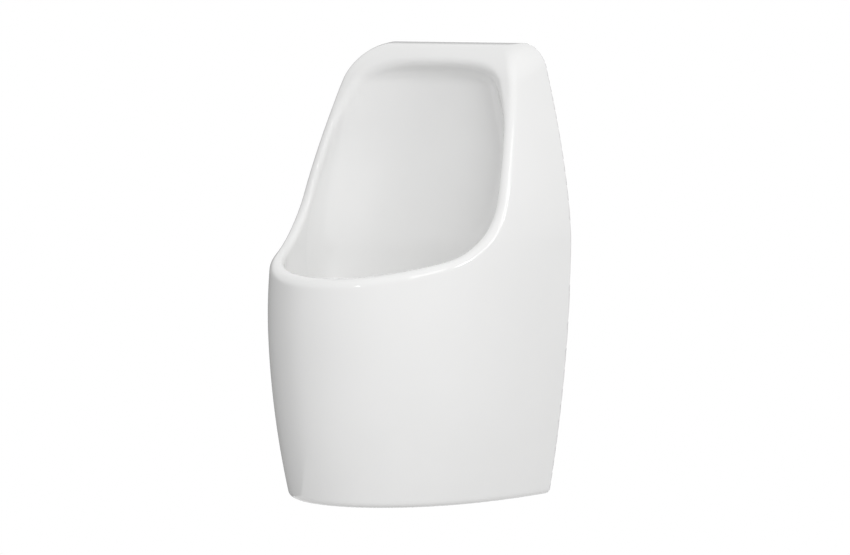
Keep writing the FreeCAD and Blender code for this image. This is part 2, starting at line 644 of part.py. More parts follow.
def cartridge_cup():
    """Open cup with two O-ring bands and a standpipe that the liquid must rise over."""
    bore = BAND_RADIUS - BAND_WALL
    low, high = band_heights()
    cup = turned([
        (0, CUP_FOOT_HEIGHT),
        (CUP_RADIUS - EDGE_BREAK, CUP_FOOT_HEIGHT), (CUP_RADIUS, CUP_FOOT_HEIGHT + EDGE_BREAK),
        (CUP_RADIUS, low), (BAND_RADIUS, low), (BAND_RADIUS, low + BAND_HEIGHT),
        (CUP_RADIUS, low + BAND_HEIGHT), (CUP_RADIUS, high), (BAND_RADIUS, high),
        (BAND_RADIUS, CUP_TOP_HEIGHT), (bore, CUP_TOP_HEIGHT), (bore, high),
        (CUP_RADIUS - CUP_WALL, high), (CUP_RADIUS - CUP_WALL, low + BAND_HEIGHT),
        (bore, low + BAND_HEIGHT),
        (bore, CUP_FOOT_HEIGHT + CUP_FLOOR), (0, CUP_FOOT_HEIGHT + CUP_FLOOR)], DRAIN_DEPTH)
    groove_bottom = o_ring_radius() - O_RING_SECTION - SEAT_GAP
    groove_height = 2 * (O_RING_SECTION + SEAT_GAP)
    for foot in (low, high):
        start = at(0, DRAIN_DEPTH, foot + (BAND_HEIGHT - groove_height) / 2)
        cup = cup.cut(tube(BAND_RADIUS + EDGE_BREAK, groove_bottom, groove_height, start))
    standpipe_foot = at(0, DRAIN_DEPTH, CUP_FOOT_HEIGHT)
    standpipe = rod(STANDPIPE_RADIUS, STANDPIPE_HEIGHT - CUP_FOOT_HEIGHT, standpipe_foot)
    way_down = rod(STANDPIPE_RADIUS - STANDPIPE_WALL, STANDPIPE_LENGTH, at(0, DRAIN_DEPTH, CUP_FOOT_HEIGHT))
    return cup.fuse(standpipe).cut(way_down)


def cartridge_o_rings():
    rings = [Part.makeTorus(o_ring_radius(), O_RING_SECTION, at(0, DRAIN_DEPTH, foot + BAND_HEIGHT / 2))
             for foot in band_heights()]
    return Part.makeCompound(rings)


def standpipe_seal():
    """Rubber seat with a raised lip, which the bell closes on."""
    inner, outer = STANDPIPE_RADIUS - STANDPIPE_WALL, STANDPIPE_RADIUS
    top = STANDPIPE_HEIGHT + STANDPIPE_SEAL
    bevel = (outer - inner) / 3
    return turned([(inner, STANDPIPE_HEIGHT), (outer, STANDPIPE_HEIGHT),
                   (outer, top - bevel), (outer - bevel, top),
                   (inner + bevel, top), (inner, top - bevel)], DRAIN_DEPTH)


def bell_rest_height():
    return STANDPIPE_HEIGHT + STANDPIPE_SEAL + SEAT_GAP


def float_bell():
    """Upturned cup over the standpipe, with a buoyant collar and a guide stem."""
    under = bell_rest_height()
    top, foot = under + BELL_TOP, under - BELL_SKIRT
    collar = foot + FLOAT_FOOT
    bevel = FLOAT_BEVEL
    stem_top = top + STEM_LENGTH
    return turned([
        (0, under), (BELL_RADIUS - BELL_WALL, under), (BELL_RADIUS - BELL_WALL, foot), (BELL_RADIUS, foot),
        (BELL_RADIUS, collar), (FLOAT_RADIUS - bevel, collar), (FLOAT_RADIUS, collar + bevel),
        (FLOAT_RADIUS, collar + FLOAT_HEIGHT - bevel), (FLOAT_RADIUS - bevel, collar + FLOAT_HEIGHT),
        (BELL_RADIUS, collar + FLOAT_HEIGHT),
        (BELL_RADIUS, top - EDGE_BREAK), (BELL_RADIUS - EDGE_BREAK, top),
        (STEM_RADIUS, top), (STEM_RADIUS, stem_top - EDGE_BREAK), (STEM_RADIUS - EDGE_BREAK, stem_top),
        (0, stem_top)], DRAIN_DEPTH)


def cartridge_lid():
    """Perforated lid with a snap skirt inside the cup and a closed guide for the bell's stem."""
    guide_foot = bell_rest_height() + BELL_TOP + FLOAT_TRAVEL + STEM_TOP_CLEARANCE
    guide = STEM_RADIUS + STEM_CLEARANCE
    skirt = BAND_RADIUS - BAND_WALL - SEAT_GAP
    skirt_inside = skirt - CUP_WALL
    lid = turned([
        (0, CUP_TOP_HEIGHT), (guide, CUP_TOP_HEIGHT), (guide, guide_foot), (guide + GUIDE_WALL, guide_foot),
        (guide + GUIDE_WALL, CUP_TOP_HEIGHT), (skirt_inside, CUP_TOP_HEIGHT),
        (skirt_inside, CUP_TOP_HEIGHT - LID_SKIRT), (skirt, CUP_TOP_HEIGHT - LID_SKIRT),
        (skirt, CUP_TOP_HEIGHT),
        (LID_RADIUS, CUP_TOP_HEIGHT), (LID_RADIUS, LID_TOP - EDGE_BREAK), (LID_RADIUS - EDGE_BREAK, LID_TOP),
        (0, LID_TOP)], DRAIN_DEPTH)
    holes = []
    for ring, radius in enumerate(LID_HOLE_CIRCLES):
        for angle in ring_of(LID_HOLES, first=math.pi * ring / LID_HOLES):
            centre = at(radius * math.cos(angle), DRAIN_DEPTH + radius * math.sin(angle), CUP_TOP_HEIGHT)
            holes.append(rod(LID_HOLE_RADIUS, LID_THICKNESS, centre))
    return lid.cut(holes)


def drain_cover():
    """Low dome over the lid, open all round its edge, on three feet, with short radial slots."""
    crown, edge = LID_TOP + COVER_STAND + COVER_CROWN, LID_TOP + COVER_STAND
    middle = COVER_RADIUS / 2
    swell = COVER_CROWN * (1 - (middle / COVER_RADIUS) ** 2)

    def arc(rise):
        return Part.Arc(at(0, DRAIN_DEPTH, crown + rise), at(middle, DRAIN_DEPTH, edge + swell + rise),
                        at(COVER_RADIUS, DRAIN_DEPTH, edge + rise)).toShape()
    under, over = arc(0), arc(COVER_THICKNESS)
    axis = Part.makeLine(at(0, DRAIN_DEPTH, crown), at(0, DRAIN_DEPTH, crown + COVER_THICKNESS))
    low, high = at(COVER_RADIUS, DRAIN_DEPTH, edge), at(COVER_RADIUS, DRAIN_DEPTH, edge + COVER_THICKNESS)
    rim = Part.makeLine(low, high)
    face = Part.Face(Part.Wire(Part.__sortEdges__([under, rim, over, axis])))
    dome = face.revolve(at(0, DRAIN_DEPTH, 0), UP, 360)
    outer_edge = edges_where(dome, lambda box: box.ZMin > at(0, 0, edge + COVER_THICKNESS / 2).z
                             and box.ZLength < 0.1 and box.XLength > COVER_RADIUS)
    dome = dome.makeFillet(EDGE_BREAK, outer_edge)
    # the feet end inside the dome's thickness
    foot_length = (COVER_STAND + COVER_CROWN * (1 - (COVER_FOOT_CIRCLE / COVER_RADIUS) ** 2)
                   + COVER_THICKNESS / 2)
    for angle in ring_of(COVER_FEET, first=math.pi / 2):
        x, depth = COVER_FOOT_CIRCLE * math.cos(angle), DRAIN_DEPTH + COVER_FOOT_CIRCLE * math.sin(angle)
        dome = dome.fuse(rod(COVER_FOOT_RADIUS, foot_length, at(x, depth, LID_TOP)))
    slot_length, slot_width = COVER_SLOT
    slots = []
    for angle in ring_of(COVER_SLOTS, first=math.pi / COVER_SLOTS):
        slot = Part.makeBox(slot_length, slot_width, COVER_STAND + COVER_CROWN + COVER_THICKNESS,
                            Vector(COVER_SLOT_START, -slot_width / 2, at(0, 0, edge - COVER_STAND / 2).z))
        slot.rotate(Vector(0, 0, 0), UP, math.degrees(angle))
        slot.translate(Vector(0, -DRAIN_DEPTH, 0))
        slots.append(slot)
    return dome.cut(slots)


# ---------------------------------------------------------------- hangers and their screws
def hanger_bracket(side):
    """Steel wall plate with an arm under the china, a lip behind its back plate and two gussets."""
    centre = side * HANGER_SPACING / 2
    x = (centre - HANGER_WIDTH / 2, centre + HANGER_WIDTH / 2)
    arm_top = HANGER_HEIGHT - SEAT_GAP
    lip_depth = PLATE_INNER_DEPTH + HANGER_LIP_GAP
    reach = lip_depth + HANGER_LIP
    plate = block(x, (0, HANGER_PLATE), (arm_top - HANGER_TALL, arm_top))
    arm = block(x, (0, reach), (arm_top - HANGER_ARM, arm_top))
    lip = block(x, (lip_depth, reach), (arm_top - HANGER_ARM, arm_top + HANGER_LIP_RISE))
    bracket = plate.fuse([arm, lip])
    for edge_x in (x[0], x[1] - GUSSET):
        corners = [at(edge_x, depth, height) for depth, height in (
            (HANGER_PLATE, arm_top - HANGER_ARM - GUSSET_REACH), (HANGER_PLATE, arm_top - HANGER_ARM),
            (HANGER_PLATE + GUSSET_REACH, arm_top - HANGER_ARM))]
        gusset = Part.Face(Part.makePolygon(corners + corners[:1])).extrude(Vector(GUSSET, 0, 0))
        bracket = bracket.fuse(gusset)
    bracket = bracket.removeSplitter()
    bracket = bracket.makeFillet(HANGER_CORNER, edges_where(
        bracket, lambda box: box.YLength > HANGER_PLATE - 0.1 and box.YLength < HANGER_PLATE + 0.1
        and box.XLength < 0.1 and box.ZLength < 0.1))
    return bracket.cut([rod(WALL_SCREW_RADIUS + SCREW_CLEARANCE, HANGER_PLATE, at(centre, 0, height), FORWARD)
                        for height in HANGER_SCREW_HEIGHTS])


def lower_screw_height():
    return SERVICE_WINDOW_FOOT + SEAT_GAP + LOWER_SCREW_RISE


def hanger_screw_places():
    return [(side * HANGER_SPACING / 2, height, HANGER_PLATE)
            for side in (-1, 1) for height in HANGER_SCREW_HEIGHTS]


def lower_screw_places():
    return [(side * LOWER_SPACING / 2, lower_screw_height(), LOWER_BRACKET_PLATE) for side in (-1, 1)]


def hexagon(across_corners, depth, start, axis):
    points = []
    for angle in ring_of(6):
        across = Vector(math.cos(angle), math.sin(angle), 0)
        if axis is not UP:
            across = Vector(math.cos(angle), 0, math.sin(angle))
        points.append(start + across * across_corners)
    return Part.Face(Part.makePolygon(points + points[:1])).extrude(axis * depth)


def wall_screw(x, height, plate):
    """Screw with a low round head and a hexagon socket, from the washer back into its plug."""
    seat = at(x, plate + WALL_WASHER, height)
    head = rod(WALL_SCREW_HEAD_RADIUS, WALL_SCREW_HEAD, seat, FORWARD)
    head = head.makeFillet(WALL_SCREW_HEAD_ROUND, edges_where(
        head, lambda box: box.YMax < seat.y - WALL_SCREW_HEAD / 2))
    head = head.cut(hexagon(WALL_SCREW_HEAD_RADIUS / 2, WALL_SCREW_HEAD / 2,
                            seat + FORWARD * WALL_SCREW_HEAD / 2, FORWARD))
    shank = rod(WALL_SCREW_RADIUS, WALL_SCREW_LENGTH, seat, INTO_WALL)
    point = Part.makeCone(WALL_SCREW_RADIUS, WALL_SCREW_TIP_RADIUS, WALL_SCREW_POINT,
                          seat + INTO_WALL * WALL_SCREW_LENGTH, INTO_WALL)
    return head.fuse([shank, point]).removeSplitter()


def wall_washer(x, height, plate):
    return tube(WALL_WASHER_RADIUS, WALL_SCREW_RADIUS + SCREW_CLEARANCE, WALL_WASHER,
                at(x, plate, height), FORWARD)


def wall_plug(x, height):
    """Nylon plug, smooth outside, slit along its far half."""
    start = at(x, 0, height)
    plug = rod(PLUG_RADIUS, PLUG_LENGTH, start, INTO_WALL)
    plug = plug.cut(rod(WALL_SCREW_RADIUS + PLUG_BORE_CLEARANCE, PLUG_LENGTH, start, INTO_WALL))
    corner = Vector(-PLUG_SLIT / 2, PLUG_LENGTH - PLUG_SLIT_LENGTH, -PLUG_RADIUS)
    slit = Part.makeBox(PLUG_SLIT, PLUG_SLIT_LENGTH, 2 * PLUG_RADIUS, start + corner)
    return plug.cut(slit)


def group(maker, places):
    return Part.makeCompound([maker(*place) for place in places])


# ---------------------------------------------------------------- lower fixings
def lower_bracket(side):
    """Steel angle on the wall whose leg, with its weld nut, lies over the china's foot boss."""
    centre = side * LOWER_SPACING / 2
    x = (centre - LOWER_BRACKET_WIDTH / 2, centre + LOWER_BRACKET_WIDTH / 2)
    foot = SERVICE_WINDOW_FOOT + SEAT_GAP
    plate = block(x, (0, LOWER_BRACKET_PLATE), (foot, foot + LOWER_BRACKET_TALL))
    leg = block(x, (0, LOWER_BRACKET_REACH), (foot, foot + LOWER_BRACKET_PLATE))
    hole = at(centre, LOWER_FIXING_DEPTH, foot)
    nut = rod(WELD_NUT_RADIUS, WELD_NUT_HEIGHT, hole + UP * LOWER_BRACKET_PLATE)
    bracket = plate.fuse([leg, nut]).removeSplitter()
    bend = edges_where(bracket, lambda box: abs(box.YMax + LOWER_BRACKET_PLATE) < 0.01 and box.YLength < 0.01
                       and abs(box.ZMin - hole.z - LOWER_BRACKET_PLATE) < 0.01 and box.ZLength < 0.01)
    bracket = bracket.makeFillet(LOWER_BRACKET_PLATE, bend)
    return bracket.cut([
        rod(FIXING_RADIUS + PLUG_BORE_CLEARANCE, LOWER_BRACKET_PLATE + WELD_NUT_HEIGHT, hole),
        rod(WALL_SCREW_RADIUS + SCREW_CLEARANCE, LOWER_BRACKET_PLATE, at(centre, 0, lower_screw_height()), FORWARD)])


def lower_fixing_screw(side):
    """Screw from below, its head in the counterbore, its shank up through sleeve and weld nut."""
    seat = at(side * LOWER_SPACING / 2, LOWER_FIXING_DEPTH, COUNTERBORE - SLEEVE_FLANGE)
    down = Vector(0, 0, -1)
    head = rod(FIXING_HEAD_RADIUS, FIXING_HEAD, seat, down)
    socket = hexagon(FIXING_HEAD_RADIUS / 2, FIXING_HEAD / 2, seat - UP * FIXING_HEAD, UP)
    return head.cut(socket).fuse(rod(FIXING_RADIUS, FIXING_LENGTH, seat)).removeSplitter()


def lower_fixing_sleeve(side):
    x = side * LOWER_SPACING / 2
    flange = rod(SLEEVE_FLANGE_RADIUS, SLEEVE_FLANGE, at(x, LOWER_FIXING_DEPTH, COUNTERBORE - SLEEVE_FLANGE))
    barrel = rod(SLEEVE_RADIUS, SERVICE_WINDOW_FOOT - COUNTERBORE, at(x, LOWER_FIXING_DEPTH, COUNTERBORE))
    way = rod(FIXING_RADIUS + SCREW_CLEARANCE, SERVICE_WINDOW_FOOT, at(x, LOWER_FIXING_DEPTH, 0))
    return flange.fuse(barrel).cut(way).removeSplitter()


def screw_cap(side):
    """Flat cap in the counterbore's mouth, with a skirt that grips the screw's head."""
    start = at(side * LOWER_SPACING / 2, LOWER_FIXING_DEPTH, SEAT_GAP)
    grip = FIXING_HEAD_RADIUS + SCREW_CLEARANCE
    skirt = tube(grip + CAP_SKIRT_WALL, grip, CAP_THICKNESS + CAP_SKIRT, start)
    return rod(CAP_RADIUS, CAP_THICKNESS, start).fuse(skirt).removeSplitter()


def wall_pad(x, height):
    half = PAD_WIDTH / 2
    pad = block((x - half, x + half), (0, WALL_GAP), (height - PAD_TALL / 2, height + PAD_TALL / 2))
    return pad.makeFillet(half / 2, edges_where(pad, lambda box: box.YLength > WALL_GAP - 0.1
                                                and box.XLength < 0.1))


def pieces():
    """Every piece of the assembly by name."""
    wall_screws = hanger_screw_places()
    foot_screws = lower_screw_places()
    sides = [(-1,), (1,)]
    plugs = [(x, height) for x, height, plate in wall_screws + foot_screws]
    pads = [(side * x, height) for side in (-1, 1) for x, height in PAD_CENTRES]
    return {
        "ceramic_body": ceramic_body(),
        "drain_housing": drain_housing(),
        "housing_gasket": housing_gasket(),
        "housing_slip_ring": housing_slip_ring(),
        "housing_locknut": housing_locknut(),
        "outlet_pipe": outlet_pipe(),
        "outlet_cone_seal": outlet_cone_seal(),
        "outlet_slip_nut": outlet_slip_nut(),
        "cartridge_cup": cartridge_cup(),
        "cartridge_o_rings": cartridge_o_rings(),
        "standpipe_seal": standpipe_seal(),
        "float_bell": float_bell(),
        "cartridge_lid": cartridge_lid(),
        "drain_cover": drain_cover(),
        "hanger_bracket_left": hanger_bracket(-1),
        "hanger_bracket_right": hanger_bracket(1),
        "hanger_screws": group(wall_screw, wall_screws),
        "hanger_washers": group(wall_washer, wall_screws),
        "wall_plugs": group(wall_plug, plugs),
        "lower_bracket_left": lower_bracket(-1),
        "lower_bracket_right": lower_bracket(1),
        "lower_bracket_screws": group(wall_screw, foot_screws),
        "lower_bracket_washers": group(wall_washer, foot_screws),
        "lower_fixing_screws": group(lower_fixing_screw, sides),
        "lower_fixing_sleeves": group(lower_fixing_sleeve, sides),
        "screw_caps": group(screw_cap, sides),
        "wall_pads": group(wall_pad, pads),
    }


if __name__ == "__main__":
    os.makedirs("parts", exist_ok=True)
    for name, shape in pieces().items():
        print(name, shape.isValid(), len(shape.Solids), round(shape.Volume))
        shape.exportStep("parts/" + name + ".step")
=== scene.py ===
"""Looks of a wall hung waterless urinal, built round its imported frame, in metres.

The wall is the plane y = 0, the front looks towards -y and +z is up. A "depth" below is measured
forward from the wall and a "height" up from the foot of the china.
"""
import math

import bpy
import numpy as np
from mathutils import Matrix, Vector


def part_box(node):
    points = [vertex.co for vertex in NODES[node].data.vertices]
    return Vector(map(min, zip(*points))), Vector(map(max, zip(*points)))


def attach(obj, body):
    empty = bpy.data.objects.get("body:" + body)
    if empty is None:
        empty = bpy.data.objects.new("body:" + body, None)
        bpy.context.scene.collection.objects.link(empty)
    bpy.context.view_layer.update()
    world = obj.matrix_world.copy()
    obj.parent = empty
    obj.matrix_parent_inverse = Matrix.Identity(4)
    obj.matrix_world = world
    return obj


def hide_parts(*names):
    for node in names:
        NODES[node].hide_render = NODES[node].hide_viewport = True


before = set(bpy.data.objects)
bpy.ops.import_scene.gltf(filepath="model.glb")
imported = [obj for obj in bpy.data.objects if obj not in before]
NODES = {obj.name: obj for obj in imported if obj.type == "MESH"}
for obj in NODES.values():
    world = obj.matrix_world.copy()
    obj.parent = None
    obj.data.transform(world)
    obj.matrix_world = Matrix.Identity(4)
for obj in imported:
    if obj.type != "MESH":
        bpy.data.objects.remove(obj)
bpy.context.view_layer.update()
CHINA_LOW, CHINA_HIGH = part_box("ceramic_body")

# ---------------------------------------------------------------- driving sizes of the china
FOOT_Z = CHINA_LOW.z
BODY_HEIGHT = CHINA_HIGH.z - CHINA_LOW.z
BODY_HALF_WIDTH = CHINA_HIGH.x
WALL_GAP = -CHINA_HIGH.y
BODY_DEPTH = -CHINA_LOW.y
WIDEST_HEIGHT = 0.356
FOOT_HALF_WIDTH = 0.163
TOP_HALF_WIDTH = 0.1465
DEEPEST_HEIGHT = 0.220
FOOT_SETBACK = 0.025
SHOULDER_SETBACK = 0.156
PLAN_FULLNESS = 2.6
LOWER_SWELL = 1.92
UPPER_SWELL = 1.52
SHOULDER_RADIUS_AT_WALL = 0.030
SHOULDER_RADIUS_AT_BROW = 0.060
SHOULDER_BROW_DEPTH = 0.080
FOOT_RADIUS = 0.007

LIP_HEIGHT = 0.303
LIP_ANGLE = math.radians(14.8)
BROW_DROP = 0.046
BROW_DEPTH = 0.074
BROW_ANGLE = math.radians(72.3)
CROOK_RADIUS = 0.120
TOP_ROLL_RADIUS = 0.075
TOP_ROLL_END = math.radians(15.0)
RIM_WIDTH = 0.018
RIM_RADIUS = 0.008
UPPER_RIM_RADIUS = 0.013        # the rim's inner edge is softer under the top roll
UPPER_RIM_HEIGHT = 0.560

BACK_WALL_DEPTH = 0.042
ROOF_DROP = 0.028
CEILING_RADIUS = 0.030
ALCOVE_DEPTH = 0.095            # where the upper alcove is widest
LOWER_ALCOVE_DEPTH = 0.135      # where the bowl is widest
ALCOVE_TURN_HEIGHT = 0.500      # from here up the alcove keeps its depth
ALCOVE_FULLNESS = 2.2
BOWL_TOP_HEIGHT = 0.330
BOWL_FLOOR_HEIGHT = 0.186
BOWL_FLOOR_RADIUS = 0.078
DRAIN_DEPTH = 0.155
SKIN_WALL = 0.010
BOWL_WALL = 0.014
ROOF_WALL = 0.014
BACK_PLATE = 0.010
HOLLOW_RADIUS = 0.006
BACK_EDGE = 0.0015
WINDOW_EDGE = 0.002

# windows in the back plate: centre across, half width, foot, top, corner radius
WINDOWS = ((0.0, 0.140, 0.022, 0.200, 0.020), (0.0, 0.125, 0.236, 0.436, 0.020),
           (0.080, 0.028, 0.480, 0.540, 0.004))
SEAT_RADIUS = 0.084
SEAT_UNDERSIDE = 0.171
RECESS_RADIUS = 0.071
RECESS_HEIGHT = 0.181
DRAIN_HOLE_RADIUS = 0.060
BOSS_ACROSS = 0.100
BOSS_DEPTH = 0.034
BOSS_RADIUS = 0.020
BOSS_TOP = 0.022
COUNTERBORE_RADIUS = 0.0125
COUNTERBORE = 0.010
SLEEVE_HOLE_RADIUS = 0.0071

GRID_STEP = 0.003
GRID_MARGIN = 0.006
PROJECTION_ROUNDS = 3
GRADIENT_STEP = 0.0002
OVAL_ROUNDS = 3                 # Newton steps towards the nearest point of the plan oval
OUTLINE_STEPS = 720
REACH_ROUNDS = 40               # halvings of the span in which the bowl's rim is looked for
REACH_SPAN = (0.02, 0.3)
BEYOND = 1.1                    # the sections run on a little past the foot and the top
TINY = 1e-6

CEILING_HEIGHT = BODY_HEIGHT - ROOF_DROP
PLATE_INNER_DEPTH = WALL_GAP + BACK_PLATE


# ---------------------------------------------------------------- fields that blend like fillets
def round_max(a, b, radius):
    """Intersection of two solids whose outer edge is rounded."""
    corner = np.hypot(np.maximum(a + radius, 0), np.maximum(b + radius, 0))
    return np.minimum(np.maximum(a, b), -radius) + corner


def round_min(a, b, radius):
    """Union of two solids whose inner corner is filled to a radius."""
    return -round_max(-a, -b, radius)


def half_width(height):
    fall = np.clip((WIDEST_HEIGHT - height) / WIDEST_HEIGHT, 0, BEYOND)
    rise = np.clip((height - WIDEST_HEIGHT) / (BODY_HEIGHT - WIDEST_HEIGHT), 0, BEYOND)
    return (BODY_HALF_WIDTH - (BODY_HALF_WIDTH - FOOT_HALF_WIDTH) * fall ** LOWER_SWELL
            - (BODY_HALF_WIDTH - TOP_HALF_WIDTH) * rise ** UPPER_SWELL)


def skin_depth(height):
    fall = np.clip((DEEPEST_HEIGHT - height) / DEEPEST_HEIGHT, 0, BEYOND)
    rise = np.clip((height - DEEPEST_HEIGHT) / (BODY_HEIGHT - DEEPEST_HEIGHT), 0, BEYOND)
    return BODY_DEPTH - FOOT_SETBACK * fall ** 2 - SHOULDER_SETBACK * rise ** 2


def oval_distance(x, forward, across, reach, x_power, forward_power):
    """Signed distance in plan to the oval (x / across) ^ p + (forward / reach) ^ q = 1."""
    u, v = x.copy(), np.maximum(forward, 0)
    for round_number in range(OVAL_ROUNDS):
        a, b = (u / across) ** x_power, (v / reach) ** forward_power
        level = np.sqrt(np.maximum(a + b, 1e-9))
        slope_u = x_power * a / (2 * np.maximum(u, TINY) * level)
        slope_v = forward_power * b / (2 * np.maximum(v, TINY) * level)
        step = (1 - level) / np.maximum(slope_u ** 2 + slope_v ** 2, 1.0)
        u = np.maximum(u + step * slope_u, 0)
        v = np.maximum(v + step * slope_v, 0)
        if round_number == 0:
            inside = level < 1
    away = np.hypot(u - x, v - np.maximum(forward, 0))
    return np.where(inside, -away, away)


def skin_distance(x, depth, height):
    return oval_distance(x, depth - WALL_GAP, half_width(height), skin_depth(height) - WALL_GAP,
                         2.0, PLAN_FULLNESS)


def rim_profile():
    """Pieces of the rim's side profile, as (kind, values), from the lip to the top."""
    lip, brow = LIP_ANGLE, BROW_ANGLE
    lip_depth = float(skin_depth(np.array(LIP_HEIGHT)))
    brow_height = BODY_HEIGHT - BROW_DROP
    meet_depth = ((LIP_HEIGHT + math.tan(lip) * lip_depth - brow_height - math.tan(brow) * BROW_DEPTH)
                  / (math.tan(lip) - math.tan(brow)))
    meet_height = LIP_HEIGHT + math.tan(lip) * (lip_depth - meet_depth)
    tangent = CROOK_RADIUS * math.tan((brow - lip) / 2)
    crook_start = (meet_depth + tangent * math.cos(lip), meet_height - tangent * math.sin(lip))
    crook_end = (meet_depth - tangent * math.cos(brow), meet_height + tangent * math.sin(brow))
    crook_centre = (crook_start[0] + CROOK_RADIUS * math.sin(lip),
                    crook_start[1] + CROOK_RADIUS * math.cos(lip))
    roll_height = BODY_HEIGHT - TOP_ROLL_RADIUS * (math.cos(TOP_ROLL_END) - math.cos(brow))
    roll_depth = BROW_DEPTH - (roll_height - brow_height) / math.tan(brow)
    hub = (roll_depth - TOP_ROLL_RADIUS * math.sin(brow), roll_height - TOP_ROLL_RADIUS * math.cos(brow))
    return crook_start, crook_end, crook_centre, (roll_depth, roll_height), hub


CROOK_START, CROOK_END, CROOK_CENTRE, ROLL_START, ROLL_HUB = rim_profile()


def line_distance(depth, height, start, along, low, high):
    """(distance, signed distance) to a stretch of a line; the solid lies to its right."""
    off_depth, off_height = depth - start[0], height - start[1]
    travelled = np.clip(off_depth * along[0] + off_height * along[1], low, high)
    away = np.hypot(off_depth - travelled * along[0], off_height - travelled * along[1])
    side = off_height * along[0] - off_depth * along[1]
    return away, np.where(side > 0, away, -away)


def arc_distance(depth, height, centre, radius, start_angle, end_angle, solid_inside):
    """The same for an arc whose angles are measured from +depth towards +height."""
    off_depth, off_height = depth - centre[0], height - centre[1]
    middle = (start_angle + end_angle) / 2
    turn = np.angle(np.exp(1j * (np.arctan2(off_height, off_depth) - middle)))
    turn = np.clip(turn, -(end_angle - start_angle) / 2, (end_angle - start_angle) / 2) + middle
    away = np.hypot(off_depth - radius * np.cos(turn), off_height - radius * np.sin(turn))
    outside = np.hypot(off_depth, off_height) > radius
    return away, np.where(outside == solid_inside, away, -away)


def profile_distance(depth, height):
    """Distance to the rim's side profile, positive in front of it and above it."""
    lip, brow, end = LIP_ANGLE, BROW_ANGLE, TOP_ROLL_END
    quarter = math.pi / 2
    far = 1.0
    roll_end = (ROLL_HUB[0] + TOP_ROLL_RADIUS * math.sin(end),
                ROLL_HUB[1] + TOP_ROLL_RADIUS * math.cos(end))
    brow_length = math.dist(CROOK_END, ROLL_START)
    pieces = [
        line_distance(depth, height, CROOK_START, (math.cos(lip), -math.sin(lip)), 0, far),
        arc_distance(depth, height, CROOK_CENTRE, CROOK_RADIUS, -quarter - brow, -quarter - lip, False),
        line_distance(depth, height, ROLL_START, (math.cos(brow), -math.sin(brow)), 0, brow_length),
        arc_distance(depth, height, ROLL_HUB, TOP_ROLL_RADIUS, quarter - brow, quarter - end, True),
        line_distance(depth, height, roll_end, (math.cos(end), -math.sin(end)), -far, 0)]
    away, signed = pieces[0]
    for other_away, other_signed in pieces[1:]:
        signed = np.where(other_away < away, other_signed, signed)
        away = np.minimum(away, other_away)
    return signed


# ---------------------------------------------------------------- the hollow of the bowl
def alcove_depth(height):
    """Depth at which the hollow is widest."""
    fall = np.clip((ALCOVE_TURN_HEIGHT - height) / (ALCOVE_TURN_HEIGHT - BOWL_TOP_HEIGHT), 0, 1)
    return ALCOVE_DEPTH + (LOWER_ALCOVE_DEPTH - ALCOVE_DEPTH) * fall * fall * (3 - 2 * fall)


def inner_half_width(height):
    """Half width of the hollow where it is widest."""
    share = ((alcove_depth(height) - WALL_GAP) / (skin_depth(height) - WALL_GAP)) ** PLAN_FULLNESS
    return half_width(height) * np.sqrt(1 - share) - RIM_WIDTH


def alcove_distance(x, depth, height):
    """Plan distance to the wall of the alcove, negative in the open space."""
    sides = skin_distance(x, depth, height) + RIM_WIDTH
    widest = alcove_depth(height)
    set_back = widest - BACK_WALL_DEPTH
    u = x / inner_half_width(height)
    v = np.maximum(widest - depth, 0) / set_back
    level = np.maximum((u ** ALCOVE_FULLNESS + v ** ALCOVE_FULLNESS) ** (1 / ALCOVE_FULLNESS), TINY)
    slope_x = (u / level) ** (ALCOVE_FULLNESS - 1) / inner_half_width(height)
    slope_depth = (v / level) ** (ALCOVE_FULLNESS - 1) / set_back
    back = (level - 1) / np.hypot(slope_x, slope_depth)
    return np.where(depth < widest, np.maximum(back, sides), sides)


def bowl_rim_reach():
    """Table of the alcove's reach from the drain's axis at BOWL_TOP_HEIGHT, by direction."""
    angles = np.linspace(0, math.pi, OUTLINE_STEPS)
    low, high = (np.full(OUTLINE_STEPS, end) for end in REACH_SPAN)
    for _ in range(REACH_ROUNDS):
        middle = (low + high) / 2
        x, depth = middle * np.sin(angles), DRAIN_DEPTH + middle * np.cos(angles)
        outside = alcove_distance(x, depth, np.full(OUTLINE_STEPS, BOWL_TOP_HEIGHT)) > 0
        high, low = np.where(outside, middle, high), np.where(outside, low, middle)
    return angles, low


REACH_ANGLES, REACHES = bowl_rim_reach()


def bowl_distance(x, depth, height):
    """Distance to the bowl below the alcove, negative in the open space."""
    forward = depth - DRAIN_DEPTH
    radius = np.hypot(x, forward)
    reach = np.interp(np.arctan2(x, forward), REACH_ANGLES, REACHES) - BOWL_FLOOR_RADIUS
    drop = BOWL_TOP_HEIGHT - BOWL_FLOOR_HEIGHT
    out = np.maximum(radius - BOWL_FLOOR_RADIUS, 0) / reach
    down = np.maximum(BOWL_TOP_HEIGHT - height, 0) / drop
    level = np.maximum(np.hypot(out, down), TINY)
    return (level - 1) / np.hypot(out / level / reach, down / level / drop)


def hole_distance(x, depth, height):
    alcove = alcove_distance(x, depth, np.maximum(height, BOWL_TOP_HEIGHT))
    upper = round_max(alcove, height - CEILING_HEIGHT, CEILING_RADIUS)
    lower = np.maximum(bowl_distance(x, depth, height), alcove)
    return np.where(height > BOWL_TOP_HEIGHT, upper, lower)


# ---------------------------------------------------------------- the whole china
def rounded_window(x, height, depth, centre, half, foot, top, radius):
    across = np.abs(x - centre) - half + radius
    upright = np.abs(height - (foot + top) / 2) - (top - foot) / 2 + radius
    corner = np.hypot(np.maximum(across, 0), np.maximum(upright, 0))
    flat = corner + np.minimum(np.maximum(across, upright), 0)
    return np.maximum(flat - radius, depth - PLATE_INNER_DEPTH - WINDOW_EDGE)


